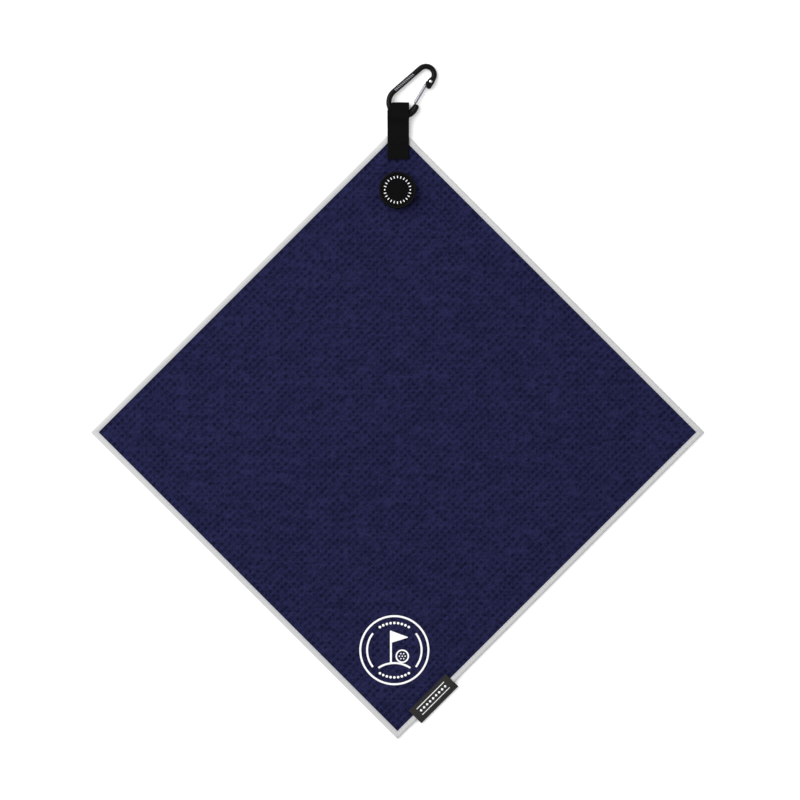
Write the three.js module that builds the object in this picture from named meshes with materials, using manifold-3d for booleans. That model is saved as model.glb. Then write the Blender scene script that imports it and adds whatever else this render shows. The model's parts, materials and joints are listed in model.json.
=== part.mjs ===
// Golf towel: a square waffle towel with bound edges, a webbing loop with a snap
// hook at its top corner, a removable magnetic patch and a folded edge label.
//
// Millimetres, +Z up. The towel lies flat and face up on the plane z = 0, turned
// so that its corners point along X and Y. The origin is the towel's centre on
// its underside, and the hanging loop is at +Y.

import * as THREE from 'three';
import { mergeVertices } from 'three/addons/utils/BufferGeometryUtils.js';
import Module from 'manifold-3d';

const wasm = await Module();
wasm.setup();

// ---------------------------------------------------------------- dimensions

const gap = 0.3; // between pieces that touch on the real towel

// Towel.
const towelSide = 317.5;
const clothThickness = 2.0;
const cornerClip = 0.8;

// Folded tape round the towel's edge.
const bindingWidth = 4.2;
const bindingThickness = 2.4;
const tapeThickness = 0.45;

// Webbing loop on the top corner.
const strapWidth = 15.9;
const strapThickness = 1.2;
const strapOverlap = 24.7; // sewn length, measured from the corner
const flexPastCorner = 2.5; // from the corner to the line where the loop bends
const barRoom = 1.6; // between the loop's open end and the hook's bar
const strapOffset = 0.55; // sideways, from the towel's centre line
const rampLength = 8.3; // over which the cloth climbs onto the strap's back leg
const rampRoom = 0.5; // from the top of that ramp to the strap's end
const loopRise = 3.2; // over which the loop's front leg climbs over the hook's bar
const loopKneeAlong = 0.28; // of that length, to the knee in the leg's underside
const loopKneeUp = 0.36; // of that climb, to the same knee
const slantPastBar = 1; // where the fold's slanted end stops, inside the bar

// Edge label.
const labelLength = 38.1;
const labelWidth = 13.1;
const labelThickness = 0.35;
const labelOverhang = 4.3;
const labelFromCorner = 39.7; // along the edge, from the bottom corner
const labelRampLength = 10;
const labelHeel = 1; // bevel under the fold, and how far up its edge starts
const labelHeelHeight = 0.8;
const labelEdgeHeight = 1.6; // where the fold starts to slope back
const labelSlope = 2.7;
const labelInset = 0.15; // from the outside's corners to the inside's

// Magnetic patch.
const patchFromCorner = 47.7; // centre, from the top corner
const magnetDiameter = 20;
const magnetThickness = 2.0;
const magnetMargin = 2.05; // between the magnet and the cover's wall
const patchWall = 1.5;
const patchFace = 1.0;
const patchFit = 0.2; // between the pieces inside the cover
const patchEdgeRound = 0.7;
const patchBevel = 0.3; // of that round, at the bevel's middle corner
const patchSegments = 40;
const keeperThickness = 0.6;
const patchBaseThickness = 0.6;
const fastenerThickness = 0.7; // of the hook disc and of the loop disc
const fastenerPlay = 0.55; // between those discs and the cover's wall

// Snap hook.
const barDiameter = 4.0;
const strapPlay = 0.35; // between the strap and each wall of the big bend
const barClearance = 0.35; // between the bar and the loop's front leg
const groundGap = 0.05; // under the hook's far end
const restingPoint = 0.4; // of the big bend's radius, below its centre
const smallBendRadius = 6.1; // to the bar's centre line
const bendSpacing = 26.3;
const hookLean = 50.3; // degrees, from +X to the hook's long axis
const hookOverhang = 0.9; // of the big bend, past the strap's left edge
const hookAboveFold = 0.1; // big bend's centre, past the strap's fold
const noseEndAngle = 19.5; // degrees, round the big bend
const seatProud = 1; // how far the nose's flat seat stands inside the bend
const seatBulge = 1.3; // the same at the seat's widest
const seatBulgeDepth = 1.2; // from the bend's centre down to there
const seatDepth = 3.5; // from the bend's centre down to the seat's lower end
const seatLean = 0.4;
const seatWidth = 0.8; // of the bar's diameter
const lugLength = 6.1; // past the small bend, to the centre of its round end
const lugThickness = 3.8;
const shoulderAboveRivet = 1.2;
const shoulderInset = 0.2;
const shoulderExtra = 0.35; // on the bar's radius, where the bar meets the lug
const bossWall = 1.5; // round the rivet
const gateDiameter = 2.4;
const gateInset = 2.4; // gate's centre line, inside the bar's
const gateEndHeight = 5.2; // gate's tip, along the hook's long axis
const gateTipLength = 0.9;
const gateTipRadius = 0.6;
const gateTipRoot = 1; // of the tip, inside the rod
const rodBelowRivet = 3.2;
const tongueThickness = 0.7;
const tongueRadius = 2.0; // of the gate's flat end, round the rivet
const tongueRoot = 1.6; // of the flat end, inside the rod
const tongueTaper = 0.8; // of the rod's radius, at the flat end's root
const hingeSlot = 1.8;
const rivetRadius = 0.9;
const rivetHeight = 24.6; // along the hook's long axis
const rivetFromAxis = 6.0;
const rivetProud = 0.1;
const springWire = 0.4;
const springRoom = 0.2; // between the spring and the slot's wall
const springTurn = { from: 130, step: -25, steps: 8 }; // degrees, round the rivet
const springFoot = { fromRivet: 0.6, aboveRod: 0.8 };

// Colour, roughness and metalness.
const looks = {
  cloth: [0x222243, 0.95, 0],
  tape: [0xd2d2d2, 0.8, 0],
  label: [0x323230, 0.7, 0],
  webbing: [0x121212, 0.8, 0],
  loopFabric: [0x16161a, 0.95, 0],
  hookFabric: [0x141414, 0.7, 0],
  patchPlastic: [0x18181a, 0.6, 0],
  keeperSteel: [0x9a9ca0, 0.35, 0.9],
  magnetPlating: [0xb9bbbf, 0.25, 1],
  rubber: [0x111111, 0.55, 0],
  anodised: [0x19191a, 0.4, 0.6],
  gateMetal: [0xc4c6ca, 0.3, 1],
  springSteel: [0xa8aaae, 0.3, 1],
  rivetMetal: [0xd8d9dc, 0.25, 1],
};

// Working values of the model itself.
const cutterReach = 20; // past anything that a cutter cuts
const weldDistance = 1e-4;
const rampSteps = 5;
const barSteps = 64;
const springSteps = 24;

// ------------------------------------------------------------- worked-out sizes

const radians = THREE.MathUtils.degToRad;
const corner = towelSide / Math.SQRT2;
const strapLift = strapThickness + gap;
const labelLift = labelThickness + gap;
const strapEnd = corner - strapOverlap;
const strapLeft = strapOffset - strapWidth / 2;
const barRadius = barDiameter / 2;
const bigBendRadius = strapWidth / 2 + strapPlay + barRadius; // to the centre line
const hookX = strapLeft - hookOverhang + bigBendRadius + barRadius;

// The hook lies on the strap's back leg at one end and on the ground at the other.
const farTip = bendSpacing + smallBendRadius;
const nearContact = -restingPoint * bigBendRadius;
const hookRise = strapThickness + gap - groundGap;
const hookTilt = Math.asin(hookRise / (farTip - nearContact));
const hookZ = barRadius + groundGap + farTip * Math.sin(hookTilt);
const highestBar = hookZ + bigBendRadius * Math.sin(hookTilt) + barRadius;

const sewnThickness = Math.max(clothThickness, bindingThickness);
const frontLegZ = strapLift + sewnThickness + gap;
const loopInside = highestBar + barClearance; // underside of the loop's front leg
const flexY = corner + flexPastCorner;
const loopStart = flexY + gap;
const hookY = loopStart + barRoom + bigBendRadius + barRadius;
const foldY = hookY - hookAboveFold;

// ----------------------------------------------------------------------- solids

function solidOf(geometry) {
  const plain = geometry.clone();
  plain.deleteAttribute('normal');
  plain.deleteAttribute('uv');
  const merged = mergeVertices(plain, weldDistance);
  return new wasm.Manifold(new wasm.Mesh({
    numProp: 3,
    vertProperties: new Float32Array(merged.attributes.position.array),
    triVerts: new Uint32Array(merged.index.array),
  }));
}

function geometryOf(solid) {
  const { vertProperties, triVerts } = solid.getMesh();
  const geometry = new THREE.BufferGeometry();
  geometry.setAttribute('position', new THREE.BufferAttribute(vertProperties, 3));
  geometry.setIndex(new THREE.BufferAttribute(triVerts, 1));
  geometry.computeVertexNormals();
  return geometry;
}

function piece(name, solid, look) {
  const geometry = solid.isBufferGeometry ? solid : geometryOf(solid);
  const [color, roughness, metalness] = look;
  const material = new THREE.MeshStandardMaterial({ color, roughness, metalness });
  const mesh = new THREE.Mesh(geometry, material);
  mesh.name = name;
  return mesh;
}

function shapeOf(points) {
  return new THREE.Shape(points.map(([x, y]) => new THREE.Vector2(x, y)));
}

function block(width, depth, height, x, y, z) {
  return new THREE.BoxGeometry(width, depth, height).translate(x, y, z);
}

// A plate between two heights, from an outline in the XY plane.
function plate(shape, low, high, curveSegments = 12) {
  const options = { depth: high - low, bevelEnabled: false, curveSegments };
  return new THREE.ExtrudeGeometry(shape, options).translate(0, 0, low);
}

// A bar along X, from a section whose axes are Y and Z.
function sectionAlongX(shape, from, to, curveSegments = 12) {
  const turn = new THREE.Matrix4().makeBasis(
    new THREE.Vector3(0, 1, 0),
    new THREE.Vector3(0, 0, 1),
    new THREE.Vector3(1, 0, 0),
  );
  const options = { depth: to - from, bevelEnabled: false, curveSegments };
  return new THREE.ExtrudeGeometry(shape, options).applyMatrix4(turn).translate(from, 0, 0);
}

// The outline round two circles and the tangents that join them.
function capsuleShape(a, radiusA, b, radiusB) {
  const along = Math.atan2(b.y - a.y, b.x - a.x);
  const lean = Math.acos((radiusA - radiusB) / a.distanceTo(b));
  const shape = new THREE.Shape();
  shape.absarc(a.x, a.y, radiusA, along + lean, along - lean + 2 * Math.PI, false);
  shape.absarc(b.x, b.y, radiusB, along - lean, along + lean, false);
  return shape;
}

function pin(radius, low, high, segments = 16) {
  const geometry = new THREE.CylinderGeometry(radius, radius, high - low, segments);
  return geometry.rotateX(Math.PI / 2).translate(0, 0, (low + high) / 2);
}

// ------------------------------------------------------------------------ towel

// How far the cloth is raised: onto the strap at the top, onto the label below.
const rampTop = strapEnd - rampRoom;
const labelTop = -corner + (labelFromCorner + labelLength / 2 + labelWidth) / Math.SQRT2;

function lift(y) {
  const onStrap = THREE.MathUtils.smoothstep(y, rampTop - rampLength, rampTop);
  const onLabel = 1 - THREE.MathUtils.smoothstep(y, labelTop, labelTop + labelRampLength);
  return strapLift * onStrap + labelLift * onLabel;
}

// A sheet over the whole towel, between two heights above the raised underside.
function liftedSheet(low, high) {
  const rows = [-corner];
  for (let i = 0; i <= rampSteps; i++) {
    rows.push(labelTop + (labelRampLength * i) / rampSteps);
  }
  for (let i = 0; i <= rampSteps; i++) {
    rows.push(rampTop - rampLength + (rampLength * i) / rampSteps);
  }
  rows.push(corner);
  const under = rows.map((y) => [y, lift(y) + low]);
  const over = rows.map((y) => [y, lift(y) + high]).reverse();
  return solidOf(sectionAlongX(shapeOf([...under, ...over]), -corner, corner));
}

// An upright prism whose section is a clipped square with its corners on X and Y.
function squarePrism(half, clip) {
  const outline = [];
  for (let i = 0; i < 4; i++) {
    const turn = radians(45 + 90 * i);
    const direction = new THREE.Vector2(1, 0).rotateAround(new THREE.Vector2(), turn);
    const across = new THREE.Vector2(-direction.y, direction.x);
    const start = direction.clone().multiplyScalar(half).addScaledVector(across, clip - half);
    const end = direction.clone().multiplyScalar(half).addScaledVector(across, half - clip);
    outline.push([start.x, start.y], [end.x, end.y]);
  }
  return solidOf(plate(shapeOf(outline), -cutterReach, cutterReach));
}

const half = towelSide / 2;

function towelCloth() {
  const body = liftedSheet(0, clothThickness)
    .intersect(squarePrism(half - bindingWidth - gap, cornerClip));
  const pinched = liftedSheet(tapeThickness + gap, bindingThickness - tapeThickness - gap)
    .intersect(squarePrism(half - tapeThickness - gap, cornerClip));
  return body.add(pinched);
}

function edgeBinding() {
  const ring = squarePrism(half, cornerClip)
    .subtract(squarePrism(half - bindingWidth, cornerClip));
  const channel = liftedSheet(tapeThickness, bindingThickness - tapeThickness)
    .intersect(squarePrism(half - tapeThickness, cornerClip));
  return liftedSheet(0, bindingThickness).intersect(ring).subtract(channel);
}

// The label is folded over the edge: X points out of the towel, Y runs along the edge.
function edgeLabel() {
  const inner = labelOverhang - labelWidth;
  const top = labelLift + sewnThickness + gap + labelThickness;
  const wall = labelThickness;
  const out = labelOverhang;
  const outside = [
    [inner, 0], [out - labelHeel, 0], [out, labelHeelHeight],
    [out, labelEdgeHeight], [out - labelSlope, top], [inner, top],
  ];
  const inside = [
    [inner, top - wall], [out - labelSlope - labelInset, top - wall],
    [out - wall, labelEdgeHeight - labelInset], [out - wall, labelHeelHeight + labelInset],
    [out - labelHeel - labelInset, wall], [inner, wall],
  ];
  const options = { depth: labelLength, bevelEnabled: false };
  const geometry = new THREE.ExtrudeGeometry(shapeOf([...outside, ...inside]), options);
  return geometry.rotateX(Math.PI / 2).translate(0, labelLength / 2, 0);
}

function makeTowel() {
  const towel = new THREE.Group();
  towel.add(piece('towel_cloth', towelCloth(), looks.cloth));
  towel.add(piece('edge_binding', edgeBinding(), looks.tape));

  const label = piece('edge_label', edgeLabel(), looks.label);
  const along = labelFromCorner / Math.SQRT2;
  label.position.set(along, along - corner, 0);
  label.rotation.z = radians(-45);
  towel.add(label);
  return towel;
}

// ------------------------------------------------------------------------ strap

// The loop is open towards the corner, and its far end is folded over.
function loopGeometry() {
  const start = loopStart;
  const inside = loopInside;
  const outside = loopInside + strapThickness;
  const middle = outside / 2;
  const bend = foldY - middle;
  const kneeZ = THREE.MathUtils.lerp(frontLegZ, inside, loopKneeUp);
  const shape = new THREE.Shape();
  shape.moveTo(start, 0);
  shape.lineTo(bend, 0);
  shape.absarc(bend, middle, middle, -Math.PI / 2, Math.PI / 2, false);
  shape.lineTo(start + loopRise, outside);
  shape.lineTo(start, frontLegZ + strapThickness);
  shape.lineTo(start, frontLegZ);
  shape.lineTo(start + loopKneeAlong * loopRise, kneeZ);
  shape.lineTo(start + loopRise, inside);
  shape.lineTo(bend, inside);
  shape.absarc(bend, middle, inside - middle, Math.PI / 2, -Math.PI / 2, true);
  shape.lineTo(start, strapThickness);
  return sectionAlongX(shape, strapLeft, strapLeft + strapWidth, 8);
}

// The hook's bar pushes in the fold's left end, so that edge slants. The slant
// crosses the bar's centre line where the fold starts to turn.
function strapLoop() {
  const pushedTo = hookX - (bigBendRadius - barRadius - slantPastBar);
  const turn = (loopInside + strapThickness) / 2;
  const crossing = hookX - Math.sqrt(bigBendRadius ** 2 - turn ** 2);
  const slantLength = (turn * (pushedTo - strapLeft)) / (pushedTo - crossing);
  const slantStart = foldY - slantLength;
  const wedge = shapeOf([
    [pushedTo, foldY], [pushedTo, foldY + cutterReach],
    [strapLeft - cutterReach, foldY + cutterReach],
    [strapLeft - cutterReach, slantStart], [strapLeft, slantStart],
  ]);
  const cutter = solidOf(plate(wedge, -cutterReach, cutterReach));
  return solidOf(loopGeometry()).subtract(cutter);
}

function makeStrap() {
  const strap = new THREE.Group();
  const sewn = flexY - gap - strapEnd;
  const leg = block(strapWidth, sewn, strapThickness, 0, sewn / 2, strapThickness / 2);
  const frontLeg = piece('strap_front_leg', leg, looks.webbing);
  frontLeg.position.set(strapOffset, strapEnd, frontLegZ);
  const backLeg = piece('strap_back_leg', leg.clone(), looks.webbing);
  backLeg.position.set(strapOffset, strapEnd, 0);
  strap.add(frontLeg, backLeg, piece('strap_loop', strapLoop(), looks.webbing));
  return strap;
}

// ------------------------------------------------------------------------ patch

// A round cup, open below, with a rounded upper edge.
const patchInside = magnetDiameter / 2 + magnetMargin;

function patchCover(low, ceiling, high) {
  const inner = patchInside;
  const outer = inner + patchWall;
  const round = patchEdgeRound;
  const bevel = patchBevel * round;
  const profile = [
    [0, ceiling], [inner, ceiling], [inner, low], [outer, low], [outer, high - round],
    [outer - bevel, high - bevel], [outer - round, high], [0, high],
  ];
  const points = profile.map(([x, y]) => new THREE.Vector2(x, y));
  return new THREE.LatheGeometry(points, patchSegments).rotateX(Math.PI / 2);
}

function makePatch() {
  const patch = new THREE.Group();
  const disc = (name, radius, low, thickness, look) => {
    const solid = pin(radius, low, low + thickness, patchSegments);
    patch.add(piece(name, solid, look));
    return low + thickness + patchFit;
  };
  const fastener = patchInside - fastenerPlay;
  const plateRadius = patchInside - patchFit;
  const magnet = magnetDiameter / 2;
  let low = disc('loop_disc', fastener, gap, fastenerThickness, looks.loopFabric);
  low = disc('hook_disc', fastener, low, fastenerThickness, looks.hookFabric);
  low = disc('patch_base', plateRadius, low, patchBaseThickness, looks.patchPlastic);
  low = disc('keeper_plate', magnet, low, keeperThickness, looks.keeperSteel);
  const ceiling = disc('magnet_disc', magnet, low, magnetThickness, looks.magnetPlating);
  const cover = patchCover(gap, ceiling, ceiling + patchFace);
  patch.add(piece('patch_cover', cover, looks.rubber));
  patch.position.set(0, corner - patchFromCorner, clothThickness);
  return patch;
}

// -------------------------------------------------------------------- snap hook
//
// Drawn flat: the big bend is centred on the origin, the small bend is up the Y
// axis, the spine is at -X and the gate at +X.

const taper = Math.asin((bigBendRadius - smallBendRadius) / bendSpacing);

// A point at a height along the gate side, moved inwards from the bar's centre line.
function gateSide(height, inset) {
  const x = bigBendRadius * Math.cos(taper);
  const y = bigBendRadius * Math.sin(taper);
  const across = (height - y) * Math.tan(taper) + inset / Math.cos(taper);
  return new THREE.Vector2(x - across, height);
}

class ArcCurve extends THREE.Curve {
  constructor(height, radius, from, to) {
    super();
    Object.assign(this, { height, radius, from, to });
  }

  getPoint(t, target = new THREE.Vector3()) {
    const angle = THREE.MathUtils.lerp(this.from, this.to, t);
    const x = this.radius * Math.cos(angle);
    const y = this.height + this.radius * Math.sin(angle);
    return target.set(x, y, 0);
  }
}

function barCentreLine() {
  const spine = Math.PI - taper;
  const big = new ArcCurve(0, bigBendRadius, radians(noseEndAngle), spine - 2 * Math.PI);
  const small = new ArcCurve(bendSpacing, smallBendRadius, spine, taper);
  const line = new THREE.CurvePath();
  line.add(big);
  line.add(new THREE.LineCurve3(big.getPoint(1), small.getPoint(0)));
  line.add(small);
  return line;
}

const rivet = new THREE.Vector2(rivetFromAxis, rivetHeight);

// A round rod along the gate, between two heights.
function gateRod(radius, from, to) {
  const a = gateSide(from, gateInset);
  const b = gateSide(to, gateInset);
  const rod = new THREE.CylinderGeometry(radius, radius, a.distanceTo(b), 16);
  return solidOf(rod.rotateZ(taper).translate((a.x + b.x) / 2, (a.y + b.y) / 2, 0));
}

const rodTop = rivetHeight - rodBelowRivet;

function rivetHole() {
  const hole = pin(rivetRadius + gap, -cutterReach, cutterReach);
  return solidOf(hole.translate(rivet.x, rivet.y, 0));
}

// The flat lug that carries the rivet, drawn round the rivet and past it.
function lugPlate() {
  const barEnd = bendSpacing + smallBendRadius * Math.sin(taper);
  const end = gateSide(barEnd - lugLength * Math.cos(taper), 0);
  const shoulder = gateSide(rivetHeight + shoulderAboveRivet, shoulderInset);
  const side = lugThickness / 2;
  const outline = capsuleShape(shoulder, barRadius + shoulderExtra, end, barRadius);
  const upper = plate(outline, -side, side);
  const boss = pin(rivetRadius + bossWall, -side, side, 24).translate(rivet.x, rivet.y, 0);
  return solidOf(upper).add(solidOf(boss));
}

// The nose is flattened into a seat for the gate's tip.
function noseSeat() {
  const top = gateEndHeight - gap;
  const face = bigBendRadius - barRadius;
  const side = seatWidth * barRadius;
  const seat = shapeOf([
    [face - seatProud, top], [face - seatBulge, -seatBulgeDepth], [face, -seatDepth],
    [bigBendRadius, 0], [bigBendRadius - seatLean, top],
  ]);
  return solidOf(plate(seat, -side, side));
}

function carabinerBody() {
  const section = new THREE.Shape().absarc(0, 0, barRadius, 0, 2 * Math.PI);
  const line = barCentreLine();
  const bar = new THREE.ExtrudeGeometry(section, {
    steps: barSteps, extrudePath: line, curveSegments: 6, bevelEnabled: false,
  });
  const noseEnd = line.getPoint(0);
  const tip = new THREE.SphereGeometry(barRadius, 12, 8).translate(noseEnd.x, noseEnd.y, 0);
  const slotWidth = 4 * tongueRadius; // below the rivet, so that the gate can swing
  const slotEnd = new THREE.Vector2(rivet.x, rivetHeight - slotWidth);
  const slotShape = capsuleShape(rivet, tongueRadius + 2 * gap, slotEnd, slotWidth);
  const slotRoom = plate(slotShape, -hingeSlot / 2, hingeSlot / 2);
  const tipRoom = gateRod(gateTipRadius + gap, gateEndHeight - gateTipLength - gap, rodTop);

  return solidOf(bar)
    .add(solidOf(tip))
    .add(noseSeat())
    .add(lugPlate())
    .subtract(gateRod(gateDiameter / 2 + gap, gateEndHeight - gap, rodTop + gap))
    .subtract(tipRoom)
    .subtract(solidOf(slotRoom))
    .subtract(rivetHole());
}

function carabinerGate() {
  const rodRadius = gateDiameter / 2;
  const tongueEnd = gateSide(rodTop - tongueRoot, gateInset);
  const tongue = capsuleShape(rivet, tongueRadius, tongueEnd, tongueTaper * rodRadius);
  const low = gap - hingeSlot / 2;
  return solidOf(plate(tongue, low, low + tongueThickness))
    .subtract(rivetHole())
    .add(gateRod(rodRadius, gateEndHeight, rodTop))
    .add(gateRod(gateTipRadius, gateEndHeight - gateTipLength, gateEndHeight + gateTipRoot));
}

// A hairpin spring that lies on the tongue and bends round the rivet.
function gateSpring() {
  const line = new THREE.CurvePath();
  const bend = rivetRadius + 2 * springWire;
  const height = hingeSlot / 2 - springRoom - springWire / 2;
  const footX = rivet.x - springFoot.fromRivet;
  const points = [];
  for (let i = 0; i <= springTurn.steps; i++) {
    const angle = radians(springTurn.from + springTurn.step * i);
    points.push(new THREE.Vector3(
      rivet.x + bend * Math.cos(angle), rivet.y + bend * Math.sin(angle), height,
    ));
  }
  points.push(new THREE.Vector3(footX, rodTop + springFoot.aboveRod, height));
  line.add(new THREE.CatmullRomCurve3(points));
  const section = new THREE.Shape().absarc(0, 0, springWire / 2, 0, 2 * Math.PI);
  return new THREE.ExtrudeGeometry(section, {
    steps: springSteps, extrudePath: line, curveSegments: 4, bevelEnabled: false,
  });
}

function makeSnapHook() {
  const hook = new THREE.Group();
  hook.add(piece('carabiner_body', carabinerBody(), looks.anodised));
  hook.add(piece('carabiner_gate', carabinerGate(), looks.gateMetal));
  hook.add(piece('gate_spring', gateSpring(), looks.springSteel));
  const rivetHalf = lugThickness / 2 + rivetProud;
  const shank = pin(rivetRadius, -rivetHalf, rivetHalf);
  const pinned = piece('gate_rivet', shank, looks.rivetMetal);
  pinned.position.set(rivet.x, rivet.y, 0);
  hook.add(pinned);
  hook.position.set(hookX, hookY, hookZ);
  hook.rotation.set(-hookTilt, 0, radians(hookLean - 90), 'ZXY');
  return hook;
}

// --------------------------------------------------------------------- assembly

const group = new THREE.Group();
group.add(makeTowel(), makeStrap(), makePatch(), makeSnapHook());

export default group;
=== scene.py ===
"""Golf towel: the detailed model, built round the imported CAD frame.

Everything is in metres, in the CAD's own frame: the towel lies face up on z = 0,
its corners point along X and Y, and the hanging loop is at +Y.
"""

import json
import math

import bmesh
import bpy
import numpy as np
from mathutils import Matrix, Vector


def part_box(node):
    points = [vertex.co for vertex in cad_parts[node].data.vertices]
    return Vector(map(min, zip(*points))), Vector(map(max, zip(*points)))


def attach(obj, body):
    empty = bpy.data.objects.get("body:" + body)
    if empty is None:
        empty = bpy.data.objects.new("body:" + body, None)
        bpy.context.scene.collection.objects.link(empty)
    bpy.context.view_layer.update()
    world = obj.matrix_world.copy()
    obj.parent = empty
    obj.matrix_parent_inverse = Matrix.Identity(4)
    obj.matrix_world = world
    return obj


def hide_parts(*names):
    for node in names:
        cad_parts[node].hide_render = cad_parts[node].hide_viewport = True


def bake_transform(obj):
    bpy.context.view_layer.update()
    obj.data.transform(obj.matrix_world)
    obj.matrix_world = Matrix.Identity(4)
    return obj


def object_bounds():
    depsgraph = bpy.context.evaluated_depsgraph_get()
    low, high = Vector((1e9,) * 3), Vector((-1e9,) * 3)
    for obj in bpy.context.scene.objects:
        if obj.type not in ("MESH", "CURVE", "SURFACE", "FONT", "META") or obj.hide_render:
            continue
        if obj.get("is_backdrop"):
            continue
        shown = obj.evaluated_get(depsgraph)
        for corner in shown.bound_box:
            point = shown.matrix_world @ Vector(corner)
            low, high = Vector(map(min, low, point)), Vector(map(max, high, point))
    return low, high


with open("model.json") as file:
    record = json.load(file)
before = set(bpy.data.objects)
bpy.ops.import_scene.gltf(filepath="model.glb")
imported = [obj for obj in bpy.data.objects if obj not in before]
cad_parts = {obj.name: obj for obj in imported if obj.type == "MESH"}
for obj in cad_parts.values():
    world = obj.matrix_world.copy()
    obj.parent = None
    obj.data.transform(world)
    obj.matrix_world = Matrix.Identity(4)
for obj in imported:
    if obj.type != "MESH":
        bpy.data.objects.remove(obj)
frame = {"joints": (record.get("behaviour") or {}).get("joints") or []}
cad_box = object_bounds()
joints = {joint["name"]: joint for joint in frame["joints"]}
rng = np.random.default_rng(11)
MM = 0.001
ROOT2 = math.sqrt(2)
FAR = 1.0  # past the towel in any direction

# ---- dimensions ----

# Towel.
CORNER_CLIP = 0.8 * MM
BINDING_WIDTH = 4.2 * MM
BINDING_HEIGHT = 2.4 * MM
TAPE = 0.45 * MM  # thickness of the binding tape
CELL = 4.14 * MM  # pitch of the waffle weave
FRONT_HIGH = 1.95 * MM  # ridge tops of the front
BACK_LOW = 0.05 * MM  # ridge tops of the back
FRONT_DEPTH = 0.95 * MM
BACK_DEPTH = 0.45 * MM
PINCHED_MIDDLE = 1.2 * MM  # height of the cloth's middle inside the binding
PINCHED_HALF = 0.42 * MM
PINCH_WIDTH = 3.5 * MM  # the cloth thins over this width towards the binding
STRAP_LIFT = 1.3 * MM  # how far the strap's back leg raises the towel
LABEL_LIFT = 0.45 * MM
LIFT_FALLOFF = 10 * MM  # how far round a hidden piece the cloth stays raised
RIB = 1.1 * MM  # pitch of the binding tape's ribs
THREAD = 0.17 * MM  # radius

# Strap.
WEBBING = 1.2 * MM
STRAP_PUSHED_IN = 4.1 * MM  # how far the hook's bar moves the fold's left edge
STRAP_SLANT = 6.4 * MM
STRAP_RAMP = 6.2 * MM  # length over which the front leg comes down to the towel

# Label.
LABEL_LENGTH = 38.1 * MM
LABEL_WIDTH = 13.1 * MM
LABEL_OVERHANG = 4.3 * MM
LABEL_THICKNESS = 0.35 * MM
LABEL_FROM_CORNER = 39.7 * MM

# Print.
PRINT_RADIUS = 24.9 * MM  # to the middle of the outer ring's line
PRINT_CENTRE = Vector((-2.3 * MM, -159.4 * MM))
PRINT_LINE = 1.4 * MM
PRINT_FILM = 0.1 * MM

# Snap hook, drawn flat: big bend on the origin, small bend up the Y axis.
BAR = 2.0 * MM  # radius
BIG_BEND = 10.3 * MM
SMALL_BEND = 6.1 * MM
BEND_SPACING = 26.3 * MM
NOSE_END = math.radians(19.5)
NOSE_LOW = -3.5 * MM  # where the gate's seat runs out into the bar
GATE_RADIUS = 1.2 * MM
GATE_INSET = 2.4 * MM
GATE_END = 5.2 * MM
RIVET_X = 6.0 * MM
RIVET_Y = 24.6 * MM
RIVET_RADIUS = 0.9 * MM
GATE_TOP = RIVET_Y - 3.2 * MM
LUG_LENGTH = 6.1 * MM
LUG_HALF = 1.9 * MM
HINGE_SLOT = 1.8 * MM
TONGUE_RADIUS = 2.0 * MM
TONGUE_THICKNESS = 0.7 * MM
SPRING_WIRE = 0.4 * MM
FLAT_START = 1.0 * MM  # the milled flats, along the spine from the big bend
FLAT_END = 19.4 * MM
FLAT_WIDTH = 2.6 * MM
FLAT_HEIGHT = 1.6 * MM  # from the hook's middle plane
GAP = 0.3 * MM
GATE_SWING = 36  # in degrees, one more than the joint allows
THROUGH = 5 * MM  # past both faces of the hook
SHARP = 0.01 * MM  # the easing of an edge that is meant to be sharp

# ---- from the frame ----

binding_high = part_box("edge_binding")[1]
half_side = (binding_high.x + CORNER_CLIP / ROOT2) / ROOT2
corner = half_side * ROOT2
visible = half_side - BINDING_WIDTH
cells = round(2 * visible / CELL)
pitch = 2 * visible / cells
cloth_edge = half_side - TAPE - GAP

back_low, back_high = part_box("strap_back_leg")
front_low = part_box("strap_front_leg")[0]
loop_low, loop_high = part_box("strap_loop")
strap_left, strap_right = back_low.x, back_high.x

label_centre = Vector((0, -corner)) + Vector((1, 1)) * LABEL_FROM_CORNER / ROOT2
label_outward = Vector((1, -1)) / ROOT2
label_edgewise = Vector((1, 1)) / ROOT2
label_inner = LABEL_OVERHANG - LABEL_WIDTH
label_place = Matrix.Translation((*label_centre, 0)) @ Matrix.Rotation(math.radians(-45), 4, "Z")


def smoothstep(t):
    t = np.clip(t, 0, 1)
    return t * t * (3 - 2 * t)


def outside_box(x, y, low, high):
    """Distance from points to a flat box, 0 inside it."""
    dx = np.maximum(np.maximum(low[0] - x, x - high[0]), 0)
    dy = np.maximum(np.maximum(low[1] - y, y - high[1]), 0)
    return np.hypot(dx, dy)


def lift(x, y):
    """How far the towel is raised by the strap's back leg and the label's underside."""
    x, y = np.asarray(x, float), np.asarray(y, float)
    strap = outside_box(x, y, (strap_left, back_low.y), (strap_right, FAR))
    out = (x - label_centre.x) * label_outward.x + (y - label_centre.y) * label_outward.y
    along = (x - label_centre.x) * label_edgewise.x + (y - label_centre.y) * label_edgewise.y
    label = outside_box(out, along, (label_inner, -LABEL_LENGTH / 2), (FAR, LABEL_LENGTH / 2))
    on_strap = STRAP_LIFT * (1 - smoothstep(strap / LIFT_FALLOFF))
    return on_strap + LABEL_LIFT * (1 - smoothstep(label / LIFT_FALLOFF))


def to_world(u, v):
    """From the towel's own axes, along its edges, to X and Y."""
    return (u - v) / ROOT2, (u + v) / ROOT2


def pit_share(x, y):
    """0 on the waffle's ridges and 1 in the middle of its pits."""
    u, v = (x + y) / ROOT2 + visible, (y - x) / ROOT2 + visible
    return (np.sin(np.pi * u / pitch) * np.sin(np.pi * v / pitch)) ** 2


# ---- mesh helpers ----

# A part is a pair: a list of vertices, and a list of faces that number them.


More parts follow.
